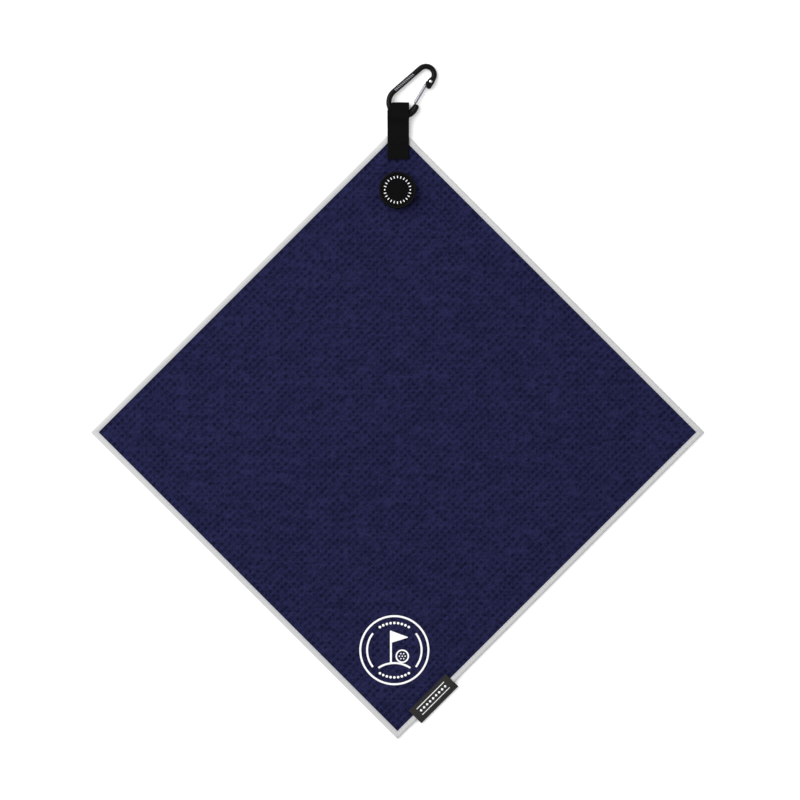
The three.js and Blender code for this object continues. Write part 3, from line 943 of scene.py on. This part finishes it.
def make_label_marks():
    """A generic woven border: two stripes and a row of small diamonds."""
    middle = (LABEL_OVERHANG + label_inner) / 2 / MM - 0.6
    parts = []
    for offset in (-2.9, 2.9):
        parts += [label_mark(middle + offset, (k - 5.5) * 2.35, 0.55, 2.36) for k in range(12)]
    parts += [label_mark(middle, (k - 4) * 3.1, 1.5, 1.5, math.pi / 4) for k in range(9)]
    return make_piece("label_marks", moved(join(parts), label_place), ink, angle=30)


def make_label_stitches():
    """A row of stitches near the label's inner edge."""
    x, half, count, share = label_inner + 1.0 * MM, 18.2 * MM, 14, 0.654
    parts = seam(Vector((x, -half)), Vector((x, half)), count, share,
                 lambda x, y: label_top(x) + 0.01 * MM, 0.18 * MM, 0.14 * MM)
    return make_piece("label_stitches", moved(join(parts), label_place), black_thread)


# ---- print ----

PRINT_STEP = 0.7 * MM


def on_cloth(x, y):
    """The print's underside: it bridges the ridges and sags a little over each pit."""
    return FRONT_HIGH - 0.03 * MM + lift(x, y) - 0.22 * MM * pit_share(x, y)


def film(grid, height=on_cloth, wrap=False, thickness=PRINT_FILM):
    """A thin film over a grid of (x, y) points, closed underneath; height gives its underside."""
    rows, columns = len(grid), len(grid[0])
    flat = np.array(grid, float).reshape(-1, 2)
    under = height(flat[:, 0], flat[:, 1])
    inside = np.tile(np.minimum(np.arange(columns), np.arange(columns)[::-1]) > 0, rows)
    over = under + thickness * np.where(inside, 1.0, 0.7)
    points = [*np.column_stack([flat, over]), *np.column_stack([flat, under])]
    count = rows * columns
    upper = grid_faces(rows, columns, wrap_rows=wrap)
    lower = [tuple(count + k for k in reversed(face)) for face in upper]
    rim = []
    for i in range(rows if wrap else rows - 1):
        rim += [(i * columns + j, (i + 1) % rows * columns + j) for j in (0, columns - 1)]
    for start in () if wrap else (0, (rows - 1) * columns):
        rim += [(start + j, start + j + 1) for j in range(columns - 1)]
    return points, upper + lower + [(a, b, b + count, a + count) for a, b in rim]


def stroke(path, widths, columns=4, wrap=False):
    """A grid of points across a line of varying width."""
    grid = []
    for i, point in enumerate(path):
        before = path[i - 1] if i or wrap else path[0]
        after = path[(i + 1) % len(path)] if i + 1 < len(path) or wrap else path[-1]
        ahead = (after - before).normalized()
        side = Vector((-ahead.y, ahead.x)) * widths[i] / 2
        grid.append([point + side * (2 * j / (columns - 1) - 1) for j in range(columns)])
    return grid


def arc(centre, radius, start, end):
    """Points along an arc, in degrees, evenly spaced."""
    count = max(6, round(abs(math.radians(end - start)) * radius / PRINT_STEP))
    angles = np.radians(np.linspace(start, end, count + 1))
    return [centre + polar(radius, a) for a in angles]


def line(start, end):
    count = max(2, round((end - start).length / PRINT_STEP))
    return [start.lerp(end, k / count) for k in range(count + 1)]


def ring(centre, radius, width):
    path = arc(centre, radius, 0, 360)[:-1]
    return film(stroke(path, [width] * len(path), wrap=True), wrap=True)


def open_line(path, width=PRINT_LINE, end_width=None):
    widths = np.linspace(width, end_width or width, len(path))
    columns = max(4, int(max(widths) / PRINT_STEP) + 2)
    return film(stroke(path, list(widths), columns))


def dot(centre, radius, height=on_cloth):
    """A filled disc."""
    turns = np.linspace(0, 2 * math.pi, 25)[:-1]
    grid = [[centre + polar(radius, a) * share for share in (0.02, 0.5, 1.0)] for a in turns]
    return film(grid, height, wrap=True)


def make_print():
    """A generic badge: a double ring, a flag on a green and a ball."""

    def at(x, y):
        """A place on the badge, in millimetres from its middle."""
        return PRINT_CENTRE + Vector((x, y)) * MM

    inner = PRINT_RADIUS * 0.8
    parts = [ring(at(0, 0), PRINT_RADIUS, PRINT_LINE)]
    parts += [open_line(arc(at(0, 0), inner, turn - 38, turn + 38)) for turn in (0, 180)]
    for first in (58, 238):
        for k in range(9):
            parts.append(dot(at(0, 0) + polar(inner, math.radians(first + 8 * k)), 0.95 * MM))
    parts.append(open_line(line(at(-2.5, -9.5), at(-2.5, 14.2))))
    parts.append(open_line(line(at(-1.75, 9.7), at(9.8, 9.4)), 8.4 * MM, 0.5 * MM))
    parts.append(open_line(arc(at(0, -30.2), 20.8 * MM, 124, 56)))
    ball = at(5.8, -4.4)
    parts += [ring(ball, 4.4 * MM, 1.1 * MM), dot(ball, 0.5 * MM)]
    parts += [dot(ball + polar(2.1 * MM, math.radians(60 * k)), 0.5 * MM) for k in range(6)]
    return make_piece("towel_print", join(parts), ink, angle=50)


# ---- patch ----

PATCH_WALL = 1.5 * MM
PATCH_FACE = 1.0 * MM
PATCH_RIM = 1.25 * MM
PATCH_TICKS = 24
TICK_HALF = 0.85 * MM
TICK_WIDTH = 0.6 * MM


def disc_of(name):
    """A round CAD piece as (centre, outer radius, low, high)."""
    low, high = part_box(name)
    return (low + high) / 2, (high.x - low.x) / 2, low.z, high.z


def spun(profile, centre, segments=128):
    return moved(lathe(profile, segments), Matrix.Translation((centre.x, centre.y, 0)))


def round_plate(centre, radius, low, high, ease, steps=4, segments=128):
    """A flat round plate with eased edges."""
    outline = [(0, low), (radius, low), (radius, high), (0, high)]
    return spun(rounded(outline, ease, steps), centre, segments)


def make_patch_cover():
    """A soft moulded cup with a raised rim and a shallow dished face."""
    centre, radius, low, high = disc_of("patch_cover")
    wall, floor, top = radius / MM, low / MM, high / MM
    inner, rim = (radius - PATCH_WALL) / MM, (radius - PATCH_RIM) / MM
    ceiling, face = (high - PATCH_FACE) / MM, top - 0.35
    outline = [
        (0, ceiling), (inner, ceiling), (inner, floor - 0.2), (wall - 0.25, floor - 0.2),
        (wall, floor + 0.3), (wall, floor + 2.6), (wall - 0.18, floor + 2.75), (wall, floor + 2.9),
        (wall - 0.1, top - 0.5), (wall - 0.55, top), (rim + 0.2, top), (rim - 0.1, face),
        (wall * 0.55, face + 0.05), (0, face + 0.12),
    ]
    profile = rounded([(x * MM, z * MM) for x, z in outline], 0.45 * MM, 5)
    cover = make_piece("patch_cover_rubber", spun(profile, centre), rubber, 60)
    points = np.array([v.co for v in cover.data.vertices])
    out = np.hypot(points[:, 0] - centre.x, points[:, 1] - centre.y)
    # Marks the top of the rim, which the material draws lighter.
    on_rim = np.clip(1 - np.abs(out - radius + 0.65 * MM) / (0.8 * MM), 0, 1)
    store_relief(cover, on_rim * (points[:, 2] > high - 0.6 * MM))
    return cover


def make_patch_print():
    """A ring of short printed ticks in place of the maker's wording."""
    centre, radius, _, high = disc_of("patch_cover")
    middle = centre.to_2d()
    reach = radius * 0.69

    def on_patch(x, y):
        out = np.hypot(x - centre.x, y - centre.y) / radius
        return high - (0.36 - 0.12 * (1 - out)) * MM

    parts = []
    for k in range(PATCH_TICKS):
        turn = 2 * math.pi * k / PATCH_TICKS
        if k % (PATCH_TICKS // 2) == 0:
            parts.append(dot(middle + polar(reach, turn), 0.5 * MM, on_patch))
            continue
        path = line(*(middle + polar(reach + end, turn) for end in (-TICK_HALF, TICK_HALF)))
        parts.append(film(stroke(path, [TICK_WIDTH] * len(path)), on_patch, thickness=0.06 * MM))
    return make_piece("patch_print", join(parts), ink, angle=40)


def scattered(centre, radius, spacing):
    """Points over a disc, on a slightly disturbed square lattice."""
    steps = int(radius / spacing)
    for i in range(-steps, steps + 1):
        for j in range(-steps, steps + 1):
            place = Vector((i, j)) * spacing + Vector(rng.normal(0, spacing * 0.12, 2))
            if place.length < radius - 0.3 * MM:
                yield centre.to_2d() + place


def make_loop_disc():
    """A disc covered with small standing loops of thread."""
    centre, radius, low, high = disc_of("loop_disc")
    sunk = 0.35 * MM
    parts = [round_plate(centre, radius, low - sunk, high - sunk, 0.08 * MM, 3, 96)]
    for place in scattered(centre, radius, 0.85 * MM):
        aside = polar(0.3 * MM, rng.uniform(0, math.pi)).to_3d()
        lean = Vector(rng.normal(0, 0.08 * MM, 2)).to_3d()
        root = Vector((*place, high - 0.38 * MM))
        stations = []
        for angle in range(0, 181, 30):
            a = math.radians(angle)
            rise = Vector((0, 0, 0.42 * MM)) + lean
            stations.append(root + aside * math.cos(a) + rise * math.sin(a))
        parts.append(tube(stations, [0.055 * MM] * len(stations), 4))
    return make_piece("loop_disc_pile", join(parts), loop_pile)


def make_hook_disc():
    """A disc with a field of small hooks that hang from it into the loops."""
    centre, radius, low, high = disc_of("hook_disc")
    parts = [round_plate(centre, radius, low + 0.25 * MM, high, 0.08 * MM, 3, 96)]
    shank, bend = 0.24, 0.14
    shape = [(0, 0), (0, -shank)]
    for angle in (35, 70, 105, 140):
        a = math.radians(angle)
        shape.append((bend * (1 - math.cos(a)), -shank - bend * math.sin(a)))
    radii = [radius_mm * MM for radius_mm in (0.09, 0.08, 0.07, 0.065, 0.06, 0.045)]
    for place in scattered(centre, radius, 0.95 * MM):
        root = Vector((*place, low + 0.27 * MM))
        parts.append(tube([root + Vector((x, 0, z)) * MM for x, z in shape], radii, 5))
    return make_piece("hook_disc_tape", join(parts), hook_pile)


# ---- snap hook ----

RIVET = Vector((RIVET_X, RIVET_Y, 0))
hook_origin = Vector(joints["carabiner_swivel"]["pos_m"])
hook_normal = Vector(joints["carabiner_swivel"]["axis"]).normalized()
taper = math.asin((BIG_BEND - SMALL_BEND) / BEND_SPACING)


def hook_to_world():
    """The hook's own frame, from its swivel axis and from where its gate turns."""
    to_rivet = Vector(joints["gate_hinge"]["pos_m"]) - hook_origin
    to_rivet -= hook_normal * to_rivet.dot(hook_normal)
    back = Matrix.Rotation(-math.atan2(RIVET_Y, RIVET_X), 3, hook_normal)
    x_axis = (back @ to_rivet).normalized()
    turn = Matrix((x_axis, hook_normal.cross(x_axis), hook_normal)).transposed()
    return Matrix.Translation(hook_origin) @ turn.to_4x4()


hook_place = hook_to_world()


def gate_side(height, inset=GATE_INSET):
    """A point at a height along the gate side, moved inwards from the bar's line."""
    x, y = polar(BIG_BEND, taper)
    return Vector((x - (height - y) * math.tan(taper) - inset / math.cos(taper), height, 0))


def along_spine(distance):
    """A point on the spine's centre line, from where the big bend ends."""
    x, y = polar(BIG_BEND, taper)
    return Vector((-x, y, 0)) + Vector((math.sin(taper), math.cos(taper), 0)) * distance


def bend_points(height, radius, start, end, count):
    return [Vector((0, height)) + polar(radius, a) for a in np.linspace(start, end, count + 1)]


def bar_part():
    """The bent bar, from its rounded nose round to the lug."""
    spine = math.pi - taper
    route = bend_points(0, BIG_BEND, NOSE_END, spine - 2 * math.pi, 90)
    route += bend_points(BEND_SPACING, SMALL_BEND, spine, taper, 48)
    ahead = (route[0] - route[1]).normalized()
    nose = [polar(BAR, math.radians(angle)) for angle in range(80, 0, -10)]
    stations = [route[0] + ahead * out for _, out in nose] + route
    radii = [radius for radius, _ in nose] + [BAR] * len(route)
    return tube([p.to_3d() for p in stations], radii, 40)


def extruded(outline, low, high, ease=SHARP):
    """A flat plate from an outline, with eased edges."""
    outline = [Vector(p).to_2d() for p in outline]
    centre = sum(outline, Vector((0, 0))) / len(outline)
    points = []
    for inset, z in ((ease, low), (0, low + ease), (0, high - ease), (ease, high)):
        points += [(*(p + (centre - p).normalized() * inset), z) for p in outline]
    return points, stack_faces(4, len(outline))


def capsule(a, radius_a, b, radius_b, steps=24):
    """The outline round two circles and the tangents that join them."""
    a, b = a.to_2d(), b.to_2d()
    along = math.atan2(b.y - a.y, b.x - a.x)
    lean = math.acos((radius_a - radius_b) / (b - a).length)
    outline = []
    for centre, radius, start, end in (
        (a, radius_a, along + lean, along - lean + 2 * math.pi),
        (b, radius_b, along - lean, along + lean),
    ):
        outline += [centre + polar(radius, turn) for turn in np.linspace(start, end, steps + 1)]
    return outline


def rivet_circle(radius, steps=48):
    return [RIVET.to_2d() + polar(radius, 2 * math.pi * k / steps) for k in range(steps)]


def lug_parts():
    """The flat lug round the rivet, which runs on from the bar and widens inwards."""
    bar_end = BEND_SPACING + SMALL_BEND * math.sin(taper)
    end = gate_side(bar_end - LUG_LENGTH * math.cos(taper), 0)
    shoulder = gate_side(RIVET_Y + 1.2 * MM, 0.2 * MM)
    upper = capsule(shoulder, BAR + 0.35 * MM, end, BAR)
    boss = rivet_circle(RIVET_RADIUS + 1.5 * MM)
    inward = [(4.4, 27.8), (4.1, 24.4), (3.3, 22.2), (3.5, 21.6), (5.0, 21.5), (7.6, 22.8)]
    inward += [(8.2, 26.4), inward[0]]
    cheek = [Vector(p) * MM for p in rounded(inward, 0.5)]
    return [extruded(plate, -LUG_HALF, LUG_HALF, 0.25 * MM) for plate in (upper, boss, cheek)]


def swung(point, degrees):
    """A point of the gate after it has swung open about the rivet."""
    return RIVET + Matrix.Rotation(math.radians(-degrees), 3, "Z") @ (point - RIVET)


def gate_sweep(low, high, room):
    """The room that the gate takes as it swings open, between the lug's two cheeks."""
    outward = polar(1, taper).to_3d()
    shoulder = high + outward * 0.75 * MM
    angles = np.linspace(0, GATE_SWING, 5)
    outline = [low, *[swung(shoulder, angle) for angle in angles]]
    outline += [swung(end - outward * room, GATE_SWING) for end in (high, low)]
    outline += [swung(low, angle) for angle in angles[3:0:-1]]
    half = GATE_RADIUS + 0.1 * MM
    return extruded(outline, -half, half)


def nose_part():
    """The seat that the gate's tip closes into."""
    top, face, half = GATE_END - GAP, BIG_BEND - BAR, 0.8 * BAR
    outline = [
        (face - 1.0 * MM, top), (face - 1.3 * MM, -1.2 * MM), (face, NOSE_LOW), (BIG_BEND, 0),
        (BIG_BEND - 0.4 * MM, top),
    ]
    return extruded(outline, -half, half, 0.3 * MM)


def spine_flat(side):
    """A shallow milled flat along the spine, where such a hook carries a marking."""
    outline = capsule(along_spine(FLAT_START), FLAT_WIDTH / 2, along_spine(FLAT_END), FLAT_WIDTH / 2)
    near, far = side * FLAT_HEIGHT, side * (BAR + 1 * MM)
    return extruded(outline, min(near, far), max(near, far))


def carved(name, parts, cutters, material, angle, voxel, smoothing):
    """Overlapping closed parts melted into one body, less the cutters, in place on the hook.

    It is worked at 1000 times the size, which suits the modifiers better.
    """

    def blank(part):
        mesh = mesh_of(name, moved(part, Matrix.Scale(1 / MM, 4)))
        turn_outwards(mesh)
        return linked("blank", mesh)

    body = blank(join(parts))
    remesh = body.modifiers.new("fuse", "REMESH")
    remesh.mode = "VOXEL"
    remesh.voxel_size = voxel / MM
    soften = body.modifiers.new("soften", "SMOOTH")
    soften.iterations = smoothing
    soften.factor = 0.5
    tools = [blank(part) for part in cutters]
    for tool in tools:
        boolean = body.modifiers.new("cut", "BOOLEAN")
        boolean.operation = "DIFFERENCE"
        boolean.solver = "EXACT"
        boolean.object = tool
    bpy.context.view_layer.update()
    graph = bpy.context.evaluated_depsgraph_get()
    mesh = bpy.data.meshes.new_from_object(body.evaluated_get(graph))
    for made in (body, *tools):
        bpy.data.objects.remove(made)
    mesh.transform(hook_place @ Matrix.Scale(MM, 4))
    return finish_piece(name, mesh, material, angle, merge=1e-7)


def make_hook_body():
    slot_end = RIVET - Vector((0, 4 * TONGUE_RADIUS, 0))
    slot = capsule(RIVET, TONGUE_RADIUS + 2 * GAP, slot_end, 4 * TONGUE_RADIUS)
    low, high = gate_side(GATE_END - GAP), gate_side(GATE_TOP + GAP)
    pin_low, pin_high = gate_side(GATE_END - 1.2 * MM - GAP), gate_side(GATE_TOP)
    room = GATE_RADIUS + GAP
    cutters = [
        tube([low, high], [room] * 2, 40),
        gate_sweep(low, high, room),
        tube([pin_low, pin_high], [0.9 * MM] * 2, 40),
        extruded(slot, -HINGE_SLOT / 2, HINGE_SLOT / 2),
        extruded(rivet_circle(RIVET_RADIUS + 0.05 * MM), -THROUGH, THROUGH),
        spine_flat(1),
        spine_flat(-1),
    ]
    parts = [bar_part(), *lug_parts(), nose_part()]
    return carved("snap_hook_body", parts, cutters, anodised, 32, voxel=0.17 * MM, smoothing=2)


def make_hook_marks():
    """A plain hatch of slanting bars on the upper flat, in place of the maker's marking."""
    up = along_spine(1) - along_spine(0)
    side = Vector((up.y, -up.x, 0))
    count = 13
    parts = []
    for k in range(count):
        middle = along_spine(FLAT_START + (FLAT_END - FLAT_START) * (k + 0.5) / count)
        slant = ((-0.85, -0.62), (0.85, -0.02), (0.85, 0.62), (-0.85, 0.02))
        outline = [middle + (side * across + up * along) * MM for across, along in slant]
        parts.append(extruded(outline, FLAT_HEIGHT - 0.04 * MM, FLAT_HEIGHT + 0.03 * MM))
    return make_piece("snap_hook_marks", moved(join(parts), hook_place), etched, angle=30)


def make_hook_gate():
    """The gate's rod with its turned tip, and the flat tongue that the rivet passes through."""
    low, high = gate_side(GATE_END), gate_side(GATE_TOP)
    ahead = (high - low).normalized()
    full = GATE_RADIUS / MM
    tip = ((-0.9, 0.25), (-0.85, 0.5), (-0.6, 0.6), (0, 0.62), (0.02, 1.05), (0.2, full), (1, full))
    root = ((-1.4, full), (-0.5, 1.05), (0, 0.7))
    turns = [(low, *turn) for turn in tip] + [(high, *turn) for turn in root]
    stations = [end + ahead * along * MM for end, along, _ in turns]
    rod = tube(stations, [radius * MM for _, _, radius in turns], 40)
    tongue = capsule(RIVET, TONGUE_RADIUS, gate_side(GATE_TOP - 1.6 * MM), 0.8 * GATE_RADIUS)
    bottom = GAP - HINGE_SLOT / 2
    plate = extruded(tongue, bottom, bottom + TONGUE_THICKNESS, 0.1 * MM)
    hole = extruded(rivet_circle(RIVET_RADIUS + 0.08 * MM), -THROUGH, THROUGH)
    return carved("snap_hook_gate", [rod, plate], [hole], gate_metal, 40, voxel=0.1 * MM, smoothing=1)


def make_hook_rivet():
    """A pin with a low domed head at each end."""
    half = LUG_HALF + 0.18 * MM
    profile = [
        (0, -half), (0.6 * MM, -half), (1.02 * MM, -half + 0.14 * MM),
        (1.05 * MM, -LUG_HALF + 0.02 * MM), (RIVET_RADIUS, -LUG_HALF + 0.05 * MM),
    ]
    profile += [(x, -z) for x, z in reversed(profile)]
    part = moved(lathe(profile, 48), hook_place @ Matrix.Translation(RIVET))
    return make_piece("snap_hook_rivet", part, rivet_metal, 40)


def make_hook_spring():
    """A hairpin of wire that lies on the gate's tongue and bends round the rivet."""
    bend = RIVET_RADIUS + 2 * SPRING_WIRE
    height = Vector((0, 0, HINGE_SLOT / 2 - 0.2 * MM - SPRING_WIRE / 2))
    turns = [math.radians(130 - 5 * k) for k in range(41)]
    stations = [RIVET + height + polar(bend, turn).to_3d() for turn in turns]
    bend_end, end = stations[-1], RIVET + height + Vector((-0.6, -2.4, 0)) * MM
    stations += [bend_end.lerp(end, k / 5) for k in range(1, 6)]
    part = tube(stations, [SPRING_WIRE / 2] * len(stations), 16)
    return make_piece("snap_hook_spring", moved(part, hook_place), spring_metal, 50)


# ---- assembly ----


def take(piece, body, slot, *nodes):
    """The piece rides on a body, and stands for these CAD nodes."""
    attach(piece, body)
    if nodes:
        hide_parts(*nodes)
    return piece


def build_towel():
    cloth = take(make_cloth(), "towel", "waffle_cloth", "towel_cloth")
    binding = take(make_binding(), "towel", "binding_tape", "edge_binding")
    stitches = take(make_binding_stitches(), "towel", "binding_tape")
    take(make_label(), "towel", "label_weave", "edge_label")
    take(make_label_marks(), "towel", "label_weave")
    take(make_label_stitches(), "towel", "label_weave")
    printed = take(make_print(), "towel", "waffle_cloth")


def build_strap():
    strap = make_strap()
    bend_line = Vector(joints["loop_flex"]["pos_m"])
    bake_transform(strap)
    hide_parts("strap_front_leg", "strap_back_leg", "strap_loop")
    take(make_strap_stitches(), "towel", "black_webbing")


def build_patch():
    take(make_loop_disc(), "towel", "loop_fabric", "loop_disc")
    take(make_hook_disc(), "patch", "hook_fabric", "hook_disc")
    for node, name, material, ease, slot in (
        ("patch_base", "patch_base_plate", moulded, 0.15 * MM, "patch_plastic"),
        ("keeper_plate", "keeper_plate_steel", keeper_steel, 0.1 * MM, "keeper_steel"),
        ("magnet_disc", "magnet_disc_plated", magnet_plating, 0.3 * MM, "magnet_plating"),
    ):
        plate = round_plate(*disc_of(node), ease)
        take(make_piece(name, plate, material, 35), "patch", slot, node)
    take(make_patch_cover(), "patch", "patch_rubber", "patch_cover")
    take(make_patch_print(), "patch", "patch_rubber")


def build_hook():
    take(make_hook_body(), "carabiner", "hook_anodised", "carabiner_body")
    take(make_hook_marks(), "carabiner", "hook_anodised")
    take(make_hook_rivet(), "carabiner", "rivet_metal", "gate_rivet")
    take(make_hook_spring(), "carabiner", "spring_wire", "gate_spring")
    take(make_hook_gate(), "gate", "gate_metal", "carabiner_gate")


# ---- stage ----

VIEW_WIDTH = 0.585
VIEW_CENTRE = Vector((0.00183, 0.02355, 0.002))
LENS = 135
SENSOR = 36
FLOOR_REACH = 6.0
FLOOR_DROP = 0.0001  # keeps the floor clear of the towel's underside


def make_camera():
    """Straight above the towel, far enough away to show it almost without perspective."""
    data = bpy.data.cameras.new("camera")
    data.lens = LENS
    data.sensor_width = SENSOR
    camera = linked("camera", data)
    camera.location = VIEW_CENTRE + Vector((0, 0, VIEW_WIDTH * LENS / SENSOR))
    bpy.context.scene.camera = camera


def make_floor():
    s = Shader("floor", 0.9, 0.1, Emission_Color=(1, 1, 1, 1), Emission_Strength=0.22)
    s.drive(Base_Color=s.between(s.noise(6, 2), (246, 246, 246), (249, 249, 249)))
    r = FLOOR_REACH
    part = ([(-r, -r, 0), (r, -r, 0), (r, r, 0), (-r, r, 0)], [(0, 1, 2, 3)])
    floor = make_piece("floor", part, s.material)
    floor.location.z = -FLOOR_DROP
    floor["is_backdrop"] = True


def make_light(name, place, size, watts):
    data = bpy.data.lights.new(name, "AREA")
    data.shape = "DISK"
    data.size = size
    data.energy = watts
    lamp = linked(name, data)
    lamp.location = place
    lamp.rotation_euler = (-Vector(place)).to_track_quat("-Z", "Y").to_euler()


def make_lights():
    make_light("key", (-1.15, 0.75, 1.5), 2.2, 44)
    make_light("fill", (1.6, -0.7, 2.2), 2.4, 8)
    world = bpy.data.worlds.new("studio")
    world.use_nodes = True
    background = world.node_tree.nodes["Background"]
    background.inputs["Color"].default_value = (1, 1, 1, 1)
    background.inputs["Strength"].default_value = 0.5
    bpy.context.scene.world = world
    bpy.context.scene.view_settings.view_transform = "Standard"


make_camera()
make_floor()
make_lights()
build_towel()
build_strap()
build_patch()
build_hook()

visual_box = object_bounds()
sizes = {"cad": cad_box, "visual": visual_box}
{k: [list(low), list(high)] for k, (low, high) in sizes.items()}
